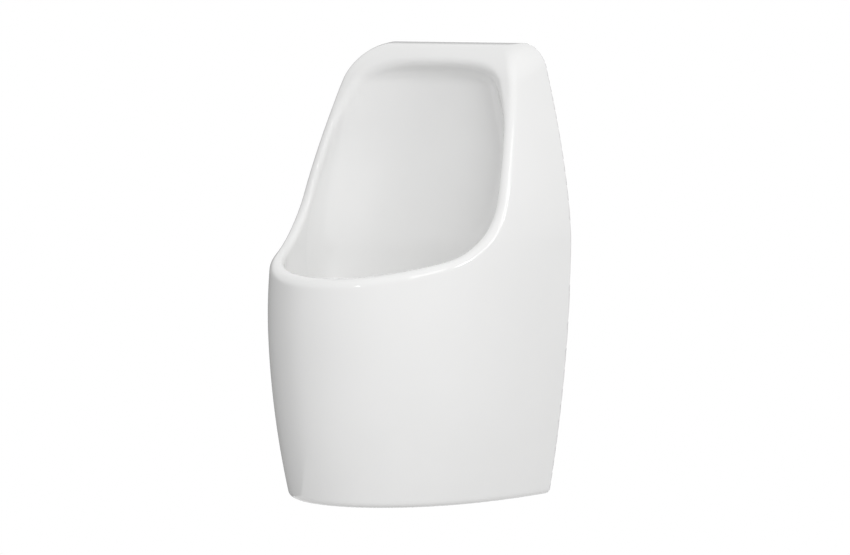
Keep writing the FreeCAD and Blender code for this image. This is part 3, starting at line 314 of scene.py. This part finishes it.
def hollow_distance(x, depth, height, skin, profile, hole):
    """Distance to the space inside the double wall, negative in it."""
    space = round_max(skin + SKIN_WALL, SKIN_WALL - height, HOLLOW_RADIUS)
    space = round_max(space, height - BODY_HEIGHT + ROOF_WALL, HOLLOW_RADIUS)
    space = round_max(space, PLATE_INNER_DEPTH - depth, HOLLOW_RADIUS)
    rim_cover = ROOF_WALL * (math.sin(BROW_ANGLE) + math.cos(BROW_ANGLE))
    space = round_max(space, profile + rim_cover, HOLLOW_RADIUS)
    return round_max(space, BOWL_WALL - hole, HOLLOW_RADIUS)


def china_distance(points):
    x, depth, height = np.abs(points[:, 0]), -points[:, 1], points[:, 2] - FOOT_Z
    skin = skin_distance(x, depth, height)
    profile = profile_distance(depth, height)
    hole = hole_distance(x, depth, height)
    forward = np.clip(depth / SHOULDER_BROW_DEPTH, 0, 1)
    shoulder = SHOULDER_RADIUS_AT_WALL + (SHOULDER_RADIUS_AT_BROW - SHOULDER_RADIUS_AT_WALL) * forward
    outer = round_max(skin, height - BODY_HEIGHT, shoulder)
    outer = round_max(outer, -height, FOOT_RADIUS)
    outer = round_max(outer, WALL_GAP - depth, BACK_EDGE)
    outer = round_max(outer, profile, RIM_RADIUS)
    softer = np.clip((height - UPPER_RIM_HEIGHT) / (CEILING_HEIGHT - UPPER_RIM_HEIGHT), 0, 1)
    inner_radius = RIM_RADIUS + (UPPER_RIM_RADIUS - RIM_RADIUS) * softer
    solid = round_max(outer, -hole, inner_radius)
    hollow = hollow_distance(x, depth, height, skin, profile, hole)
    solid = np.maximum(solid, -hollow)
    for window in WINDOWS:
        solid = round_max(solid, -rounded_window(x, height, depth, *window), WINDOW_EDGE)
    drain = np.hypot(x, depth - DRAIN_DEPTH)
    seat_slab = np.maximum(SEAT_UNDERSIDE - height, height - BOWL_FLOOR_HEIGHT)
    solid = np.minimum(solid, np.maximum(drain - SEAT_RADIUS, seat_slab))
    recess_slab = np.maximum(RECESS_HEIGHT - height, height - BOWL_TOP_HEIGHT)
    recess = np.maximum(drain - RECESS_RADIUS, recess_slab)
    drain_hole = np.maximum(drain - DRAIN_HOLE_RADIUS, height - BOWL_TOP_HEIGHT)
    through = np.maximum(drain_hole, SEAT_UNDERSIDE - BOWL_WALL - height)
    solid = np.maximum(np.maximum(solid, -recess), -through)
    boss_axis = np.hypot(x - BOSS_ACROSS, depth - BOSS_DEPTH)
    boss = np.maximum(boss_axis - BOSS_RADIUS, np.maximum(-height, height - BOSS_TOP))
    solid = round_min(solid, boss, WINDOW_EDGE)
    solid = np.maximum(solid, -np.maximum(boss_axis - COUNTERBORE_RADIUS, height - COUNTERBORE))
    sleeve_hole = np.maximum(boss_axis - SLEEVE_HOLE_RADIUS, height - BOSS_TOP - COUNTERBORE)
    return np.maximum(solid, -sleeve_hole)


# ---------------------------------------------------------------- from the field to a mesh
def grid_axes(low, high):
    """Grid planes along x, y and z, a margin past the corners."""
    return [np.arange(low[i] - GRID_MARGIN, high[i] + GRID_MARGIN + GRID_STEP, GRID_STEP)
            for i in range(3)]


def sampled(distance, axes):
    """Field at every grid point, one layer of x at a time."""
    layers = []
    y, z = np.meshgrid(axes[1], axes[2], indexing="ij")
    for x in axes[0]:
        points = np.column_stack((np.full(y.size, x), y.ravel(), z.ravel()))
        layers.append(distance(points).reshape(y.shape))
    return np.array(layers)


CUBE = [(i, j, k) for i in (0, 1) for j in (0, 1) for k in (0, 1)]


def corner_view(values, offset):
    return values[tuple(slice(o, values.shape[a] - 1 + o) for a, o in enumerate(offset))]


def surface_net(values, axes):
    """Vertices, one in each cell that the surface crosses, and the quads that join them."""
    inside = values < 0
    count = sum(corner_view(inside, offset).astype(int) for offset in CUBE)
    active = (count > 0) & (count < 8)
    index = np.full(active.shape, -1)
    index[active] = np.arange(active.sum())
    cells = np.argwhere(active)
    total, crossings = np.zeros((len(cells), 3)), np.zeros(len(cells))
    for offset in CUBE:
        for axis in range(3):
            if offset[axis]:
                continue
            ahead = tuple(o + (a == axis) for a, o in enumerate(offset))
            near = corner_view(values, offset)[active]
            far = corner_view(values, ahead)[active]
            crossed = (near < 0) != (far < 0)
            share = np.where(crossed, near / np.where(crossed, near - far, 1), 0)
            place = np.tile(np.array(offset, float), (len(cells), 1))
            place[:, axis] += share
            total[crossed] += place[crossed]
            crossings[crossed] += 1
    grid_place = cells + total / crossings[:, None]
    origin = np.array([axis_values[0] for axis_values in axes])
    vertices = origin + grid_place * GRID_STEP
    quads = []
    for axis in range(3):
        u, v = (axis + 1) % 3, (axis + 2) % 3
        here = [slice(1, -1)] * 3
        there = [slice(1, -1)] * 3
        here[axis], there[axis] = slice(0, -1), slice(1, None)
        a, b = inside[tuple(here)], inside[tuple(there)]
        for leaving in (True, False):
            edges = np.argwhere(a & ~b if leaving else ~a & b)
            base = edges + np.array([0 if i == axis else 1 for i in range(3)])
            ring = []
            for du, dv in ((0, 0), (1, 0), (1, 1), (0, 1)):
                cell = base.copy()
                cell[:, u] -= du
                cell[:, v] -= dv
                ring.append(index[cell[:, 0], cell[:, 1], cell[:, 2]])
            quad = np.column_stack(ring)
            quads.append(quad if leaving else quad[:, ::-1])
    return vertices, np.concatenate(quads)


def gradient(distance, points):
    slopes = []
    for axis in range(3):
        step = np.zeros(3)
        step[axis] = GRADIENT_STEP
        slopes.append((distance(points + step) - distance(points - step)) / (2 * GRADIENT_STEP))
    return np.column_stack(slopes)


def onto_surface(distance, points):
    """Points moved onto the zero level, no further than half a cell each round."""
    for _ in range(PROJECTION_ROUNDS):
        slope = gradient(distance, points)
        value = distance(points)
        move = -slope * (value / np.maximum((slope ** 2).sum(1), 0.25))[:, None]
        length = np.maximum(np.linalg.norm(move, axis=1), 1e-12)
        points = points + move * np.minimum(1, GRID_STEP / 2 / length)[:, None]
    return points


def mesh_object(name, vertices, faces):
    mesh = bpy.data.meshes.new(name)
    mesh.vertices.add(len(vertices))
    mesh.vertices.foreach_set("co", vertices.astype(np.float32).ravel())
    mesh.loops.add(faces.size)
    mesh.loops.foreach_set("vertex_index", faces.astype(np.int32).ravel())
    mesh.polygons.add(len(faces))
    mesh.polygons.foreach_set("loop_start", np.arange(0, faces.size, faces.shape[1], dtype=np.int32))
    mesh.update(calc_edges=True)
    mesh.validate()
    mesh.shade_smooth()
    obj = bpy.data.objects.new(name, mesh)
    bpy.context.scene.collection.objects.link(obj)
    return obj


def glazed_body():
    """The china as one smooth skin, glazed outside and in the bowl, bare on its back and inside."""
    axes = grid_axes(CHINA_LOW, CHINA_HIGH)
    vertices, quads = surface_net(sampled(china_distance, axes), axes)
    vertices = onto_surface(china_distance, vertices)
    vertices = np.clip(vertices, np.array(CHINA_LOW), np.array(CHINA_HIGH))
    body = mesh_object("glazed_body", vertices, quads)
    centres = vertices[quads].mean(1)
    x, depth, height = np.abs(centres[:, 0]), -centres[:, 1], centres[:, 2] - FOOT_Z
    skin = skin_distance(x, depth, height)
    hole = hole_distance(x, depth, height)
    profile = profile_distance(depth, height)
    hollow = hollow_distance(x, depth, height, skin, profile, hole)
    bare = (np.abs(hollow) < GRID_STEP / 2) | (depth < WALL_GAP + GRID_STEP / 4)
    underside = (height < GRID_STEP) & (skin < -FOOT_RADIUS)
    body.data.materials.append(glaze())
    body.data.materials.append(bisque())
    body.data.polygons.foreach_set("material_index", (bare | underside).astype(np.int32))
    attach(body, "root")
    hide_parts("ceramic_body")


# ---------------------------------------------------------------- materials
NOISE_LOW, NOISE_HIGH = 0.3, 0.7    # between these lie nearly all values of the noise


def new_material(name, color, roughness, **sockets):
    """Principled material; returns the material, its node tree and its shader."""
    material = bpy.data.materials.new(name)
    material.use_nodes = True
    tree = material.node_tree
    shader = tree.nodes["Principled BSDF"]
    shader.inputs["Base Color"].default_value = (*color, 1)
    shader.inputs["Roughness"].default_value = roughness
    for socket, value in sockets.items():
        shader.inputs[socket.replace("_", " ")].default_value = value
    return material, tree, shader


def noise(tree, scale, detail=3.0):
    """Noise over the object's own coordinates."""
    place = tree.nodes.new("ShaderNodeTexCoord")
    texture = tree.nodes.new("ShaderNodeTexNoise")
    texture.inputs["Scale"].default_value = scale
    texture.inputs["Detail"].default_value = detail
    tree.links.new(place.outputs["Object"], texture.inputs["Vector"])
    return texture.outputs["Fac"]


def ramp(tree, value, low, high):
    """Colour that runs from low to high as the noise runs over its usual range."""
    node = tree.nodes.new("ShaderNodeValToRGB")
    node.color_ramp.elements[0].position = NOISE_LOW
    node.color_ramp.elements[1].position = NOISE_HIGH
    node.color_ramp.elements[0].color = (*low, 1)
    node.color_ramp.elements[1].color = (*high, 1)
    tree.links.new(value, node.inputs["Fac"])
    return node.outputs["Color"]


def level(tree, value, low, high):
    """Number that runs from low to high as the noise runs over its usual range."""
    node = tree.nodes.new("ShaderNodeMapRange")
    node.inputs["From Min"].default_value = NOISE_LOW
    node.inputs["From Max"].default_value = NOISE_HIGH
    node.inputs["To Min"].default_value = low
    node.inputs["To Max"].default_value = high
    tree.links.new(value, node.inputs["Value"])
    return node.outputs["Result"]


def bump(tree, shader, value, distance, strength=1.0):
    node = tree.nodes.new("ShaderNodeBump")
    node.inputs["Distance"].default_value = distance
    node.inputs["Strength"].default_value = strength
    tree.links.new(value, node.inputs["Height"])
    previous = shader.inputs["Normal"].links
    if previous:
        tree.links.new(previous[0].from_socket, node.inputs["Normal"])
    tree.links.new(node.outputs["Normal"], shader.inputs["Normal"])


def tone(color, factor):
    return tuple(min(channel * factor, 1.0) for channel in color)


GLAZE_COLOR = (0.93, 0.93, 0.925)
BISQUE_COLOR = (0.74, 0.71, 0.66)


def glaze():
    material, tree, shader = new_material("white_glaze", GLAZE_COLOR, 0.07, IOR=1.52)
    drift = noise(tree, 6.0, detail=2.0)
    tree.links.new(ramp(tree, drift, tone(GLAZE_COLOR, 0.985), tone(GLAZE_COLOR, 1.01)),
                   shader.inputs["Base Color"])
    tree.links.new(level(tree, noise(tree, 40.0), 0.05, 0.09), shader.inputs["Roughness"])
    bump(tree, shader, noise(tree, 22.0, detail=1.0), 0.0004, 0.25)
    return material


def bisque():
    material, tree, shader = new_material("bare_bisque", BISQUE_COLOR, 0.75)
    stain = noise(tree, 25.0, detail=6.0)
    tree.links.new(ramp(tree, stain, tone(BISQUE_COLOR, 0.88), tone(BISQUE_COLOR, 1.08)),
                   shader.inputs["Base Color"])
    bump(tree, shader, noise(tree, 500.0), 0.0004, 0.5)
    return material


def moulded(name, color, roughness, grain=900.0):
    """Moulded plastic or rubber with a fine grain and slight flow marks."""
    material, tree, shader = new_material(name, color, roughness)
    tree.links.new(ramp(tree, noise(tree, 30.0), tone(color, 0.93), tone(color, 1.05)),
                   shader.inputs["Base Color"])
    tree.links.new(level(tree, noise(tree, 120.0), roughness * 0.85, roughness * 1.15),
                   shader.inputs["Roughness"])
    bump(tree, shader, noise(tree, grain), 0.00015, 0.4)
    return material


def plated_steel(name, color):
    """Zinc plated steel with its cloudy spangle."""
    material, tree, shader = new_material(name, color, 0.35, Metallic=1.0)
    cloud = noise(tree, 90.0, detail=5.0)
    tree.links.new(ramp(tree, cloud, tone(color, 0.8), (color[0], color[1], color[2] * 1.04)),
                   shader.inputs["Base Color"])
    tree.links.new(level(tree, cloud, 0.28, 0.46), shader.inputs["Roughness"])
    bump(tree, shader, noise(tree, 600.0), 0.0001, 0.3)
    return material


def turned_steel(name, color, axis_place):
    """Stainless steel with fine rings about an upright axis."""
    material, tree, shader = new_material(name, color, 0.26, Metallic=1.0)
    place = tree.nodes.new("ShaderNodeTexCoord")
    shift = tree.nodes.new("ShaderNodeVectorMath")
    shift.operation = "SUBTRACT"
    shift.inputs[1].default_value = axis_place
    flat = tree.nodes.new("ShaderNodeVectorMath")
    flat.operation = "MULTIPLY"
    flat.inputs[1].default_value = (1, 1, 0)
    radius = tree.nodes.new("ShaderNodeVectorMath")
    radius.operation = "LENGTH"
    rings = tree.nodes.new("ShaderNodeTexNoise")
    rings.noise_dimensions = "1D"
    rings.inputs["Scale"].default_value = 1800.0
    tree.links.new(place.outputs["Object"], shift.inputs[0])
    tree.links.new(shift.outputs["Vector"], flat.inputs[0])
    tree.links.new(flat.outputs["Vector"], radius.inputs[0])
    tree.links.new(radius.outputs["Value"], rings.inputs["W"])
    value = rings.outputs["Fac"]
    tree.links.new(ramp(tree, value, tone(color, 0.9), tone(color, 1.05)), shader.inputs["Base Color"])
    tree.links.new(level(tree, value, 0.2, 0.34), shader.inputs["Roughness"])
    bump(tree, shader, value, 0.00005, 0.4)
    return material


def dress_nodes():
    """Every carried-over piece of the frame gets its own kind of finish."""
    finishes = {
        "drain_housing": moulded("grey_polypropylene", (0.60, 0.60, 0.59), 0.42),
        "housing_slip_ring": moulded("natural_nylon_ring", (0.68, 0.66, 0.60), 0.45),
        "housing_locknut": moulded("dark_polypropylene", (0.05, 0.05, 0.055), 0.45),
        "outlet_pipe": moulded("grey_pipe", (0.30, 0.31, 0.32), 0.35),
        "cartridge_cup": moulded("white_abs", (0.78, 0.79, 0.80), 0.25),
        "float_bell": moulded("blue_polypropylene", (0.07, 0.20, 0.42), 0.35),
        "wall_plugs": moulded("grey_nylon", (0.45, 0.45, 0.43), 0.5),
        "screw_caps": moulded("white_cap", (0.80, 0.80, 0.79), 0.2),
        "housing_gasket": moulded("black_rubber", (0.02, 0.02, 0.02), 0.65, grain=1400.0),
        "hanger_bracket_left": plated_steel("plated_bracket", (0.62, 0.62, 0.60)),
        "hanger_screws": plated_steel("plated_screw", (0.66, 0.65, 0.60)),
    }
    cover_low, cover_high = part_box("drain_cover")
    middle = (cover_low + cover_high) / 2
    finishes["drain_cover"] = turned_steel("turned_stainless", (0.66, 0.66, 0.65), middle)
    alike = {
        "outlet_slip_nut": "housing_locknut", "cartridge_lid": "cartridge_cup",
        "lower_fixing_sleeves": "wall_plugs", "outlet_cone_seal": "housing_gasket",
        "cartridge_o_rings": "housing_gasket", "standpipe_seal": "housing_gasket",
        "wall_pads": "housing_gasket", "hanger_bracket_right": "hanger_bracket_left",
        "lower_bracket_left": "hanger_bracket_left", "lower_bracket_right": "hanger_bracket_left",
        "hanger_washers": "hanger_screws", "lower_bracket_screws": "hanger_screws",
        "lower_bracket_washers": "hanger_screws", "lower_fixing_screws": "hanger_screws",
    }
    for name, like in alike.items():
        finishes[name] = finishes[like]
    for name, material in finishes.items():
        materials = NODES[name].data.materials
        if len(materials) == 0:
            materials.append(material)
        for i in range(len(materials)):
            materials[i] = material


# ---------------------------------------------------------------- studio
CAMERA_PLACE = (3.2946, -3.9301, 0.6252)
CAMERA_YAW = math.radians(40.53)
CAMERA_TILT = math.radians(4.56)
PHOTO_WIDTH = 850
FOCAL_PIXELS = 3670.8
SENSOR_WIDTH = 36.0
FLOOR_DROP = 0.30               # floor below the foot of the china
FLOOR_SIZE = 1.8
FLOOR_COLOR = (0.6, 0.6, 0.6, 1)
FLOOR_GLOW = 0.62               # seen rays add this, so an unshaded floor reads as white


def photo_camera():
    data = bpy.data.cameras.new("photo_camera")
    data.sensor_fit = "HORIZONTAL"
    data.sensor_width = SENSOR_WIDTH
    data.lens = FOCAL_PIXELS * SENSOR_WIDTH / PHOTO_WIDTH
    data.clip_end = 100.0
    camera = bpy.data.objects.new("photo_camera", data)
    camera.location = CAMERA_PLACE
    camera.rotation_euler = (math.pi / 2 - CAMERA_TILT, 0, CAMERA_YAW)
    bpy.context.scene.collection.objects.link(camera)
    bpy.context.scene.camera = camera


def maths(tree, operation, first, second):
    """Result of one sum; either side may be a number or the output of another node."""
    node = tree.nodes.new("ShaderNodeMath")
    node.operation = operation
    for socket, value in zip(node.inputs, (first, second)):
        if isinstance(value, (int, float)):
            socket.default_value = value
        else:
            tree.links.new(value, socket)
    return node.outputs["Value"]


def smooth_step(tree, value, start, end):
    node = tree.nodes.new("ShaderNodeMapRange")
    node.interpolation_type = "SMOOTHSTEP"
    node.inputs["From Min"].default_value = start
    node.inputs["From Max"].default_value = end
    tree.links.new(value, node.inputs["Value"])
    return node.outputs["Result"]


def along(tree, direction):
    """How far a world ray points along a direction, from -1 to 1."""
    place = tree.nodes.new("ShaderNodeTexCoord")
    dot = tree.nodes.new("ShaderNodeVectorMath")
    dot.operation = "DOT_PRODUCT"
    dot.inputs[1].default_value = Vector(direction).normalized()
    tree.links.new(place.outputs["Generated"], dot.inputs[0])
    return dot.outputs["Value"]


def white_floor():
    half = FLOOR_SIZE / 2
    corners = np.array([(-half, -half), (half, -half), (half, half), (-half, half)])
    vertices = np.column_stack((corners, np.full(4, FOOT_Z - FLOOR_DROP)))
    floor = mesh_object("floor", vertices, np.array([[0, 1, 2, 3]]))
    material = bpy.data.materials.new("floor_white")
    material.use_nodes = True
    tree = material.node_tree
    shader = tree.nodes["Principled BSDF"]
    shader.inputs["Base Color"].default_value = FLOOR_COLOR
    shader.inputs["Roughness"].default_value = 0.9
    path = tree.nodes.new("ShaderNodeLightPath")
    seen = maths(tree, "MAXIMUM", path.outputs["Is Camera Ray"], path.outputs["Is Glossy Ray"])
    seen = maths(tree, "MAXIMUM", seen, path.outputs["Is Transmission Ray"])
    shader.inputs["Emission Color"].default_value = (1, 1, 1, 1)
    tree.links.new(maths(tree, "MULTIPLY", seen, FLOOR_GLOW), shader.inputs["Emission Strength"])
    floor.data.materials.append(material)


WORLD_LEVEL = 0.505
BRIGHT_SIDE = (0.58, -0.50, 0.64)   # the soft light falls off away from this side
BRIGHT_SHARE = 0.80
DARK_SIDE = (-0.93, 0.36, -0.10)    # a dark curtain stands here, behind and to the left
DARK_SPREAD = (0.35, 0.85)          # from its edge to where it is fully dark
DARK_TOP = (0.10, 0.40)             # it fades out between these rises
DARK_SHARE = 0.70


def world_light():
    """Soft light with the curtain in it; the camera sees white, and mirrors see white and the curtain."""
    world = bpy.data.worlds.new("studio")
    world.use_nodes = True
    tree = world.node_tree
    background = tree.nodes["Background"]
    background.inputs["Color"].default_value = (1, 1, 1, 1)
    slope = maths(tree, "MULTIPLY", along(tree, BRIGHT_SIDE), BRIGHT_SHARE * WORLD_LEVEL)
    slope = maths(tree, "ADD", slope, WORLD_LEVEL)
    curtain = smooth_step(tree, along(tree, DARK_SIDE), *DARK_SPREAD)
    above = smooth_step(tree, along(tree, (0, 0, 1)), *DARK_TOP)
    curtain = maths(tree, "MULTIPLY", curtain, maths(tree, "SUBTRACT", 1.0, above))
    kept = maths(tree, "SUBTRACT", 1.0, maths(tree, "MULTIPLY", curtain, DARK_SHARE))
    light = maths(tree, "MULTIPLY", slope, kept)
    path = tree.nodes.new("ShaderNodeLightPath")
    mirrored = maths(tree, "MAXIMUM", path.outputs["Is Glossy Ray"], path.outputs["Is Transmission Ray"])
    light = maths(tree, "MAXIMUM", light, maths(tree, "MULTIPLY", mirrored, kept))
    light = maths(tree, "MAXIMUM", light, path.outputs["Is Camera Ray"])
    tree.links.new(light, background.inputs["Strength"])
    bpy.context.scene.world = world


LIT_POINT = Vector((0, -0.15, 0.20))
LAMP_DISTANCE = 3.0
# lamps: name, azimuth and elevation in degrees, width and height in metres, watts
LAMPS = (("front_softbox", 5, 25, (0.20, 0.34), 2.0),
         ("right_softbox", 82, 22, (0.22, 0.5), 5.0),
         ("side_softbox", 60, 28, (1.2, 1.2), 12.0))


def softbox(name, azimuth, elevation, size, power):
    """Rectangular lamp aimed at the object; the azimuth runs from the front to the right."""
    turn, rise = math.radians(azimuth), math.radians(elevation)
    toward = Vector((math.cos(rise) * math.sin(turn), -math.cos(rise) * math.cos(turn),
                     math.sin(rise)))
    data = bpy.data.lights.new(name, "AREA")
    data.shape = "RECTANGLE"
    data.size, data.size_y = size
    data.energy = power
    lamp = bpy.data.objects.new(name, data)
    lamp.location = LIT_POINT + toward * LAMP_DISTANCE
    lamp.rotation_euler = toward.to_track_quat("Z", "Y").to_euler()
    bpy.context.scene.collection.objects.link(lamp)


def studio():
    bpy.context.scene.view_settings.view_transform = "Standard"
    photo_camera()
    white_floor()
    world_light()
    for lamp in LAMPS:
        softbox(*lamp)


glazed_body()
dress_nodes()
studio()
